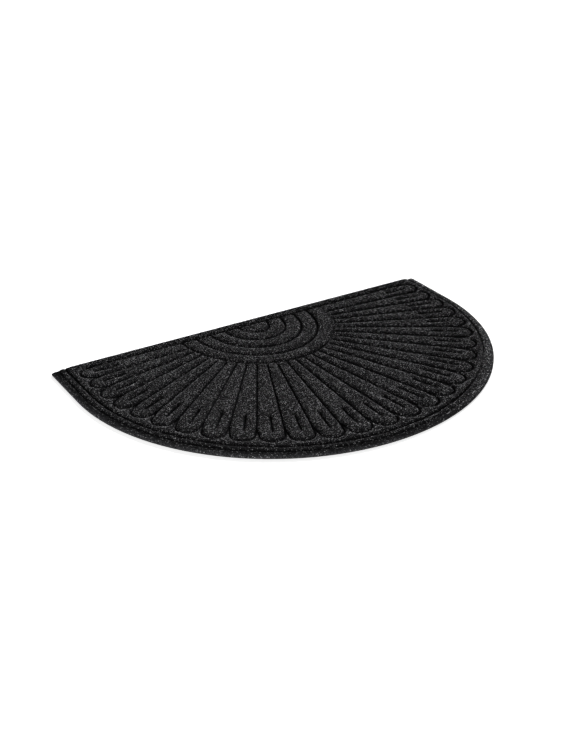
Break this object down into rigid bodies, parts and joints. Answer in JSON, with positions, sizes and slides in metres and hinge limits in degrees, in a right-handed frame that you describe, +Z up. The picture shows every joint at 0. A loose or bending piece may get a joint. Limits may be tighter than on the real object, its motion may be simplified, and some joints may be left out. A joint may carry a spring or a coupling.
{
  "type": "half-round doormat",
  "caption": "Half-round doormat: a charcoal pile face pressed with a fan of round-ended petals and half rings, on a flat rubber backing.",
  "frame": {"origin": "middle of the bounding box at floor level, under the mat", "axes": "+X along the straight edge, +Y from the round edge towards the straight edge, +Z up out of the pile"},
  "size_m": [0.99, 0.626, 0.009],
  "materials": {
    "pile_face": "matt charcoal needle-punched pile with fine lighter grey flecks",
    "rubber_backing": "matt black rubber"
  },
  "bodies": {
    "root": {"pile_face": "pile_face", "rubber_backing": "rubber_backing"}
  },
  "joints": []
}
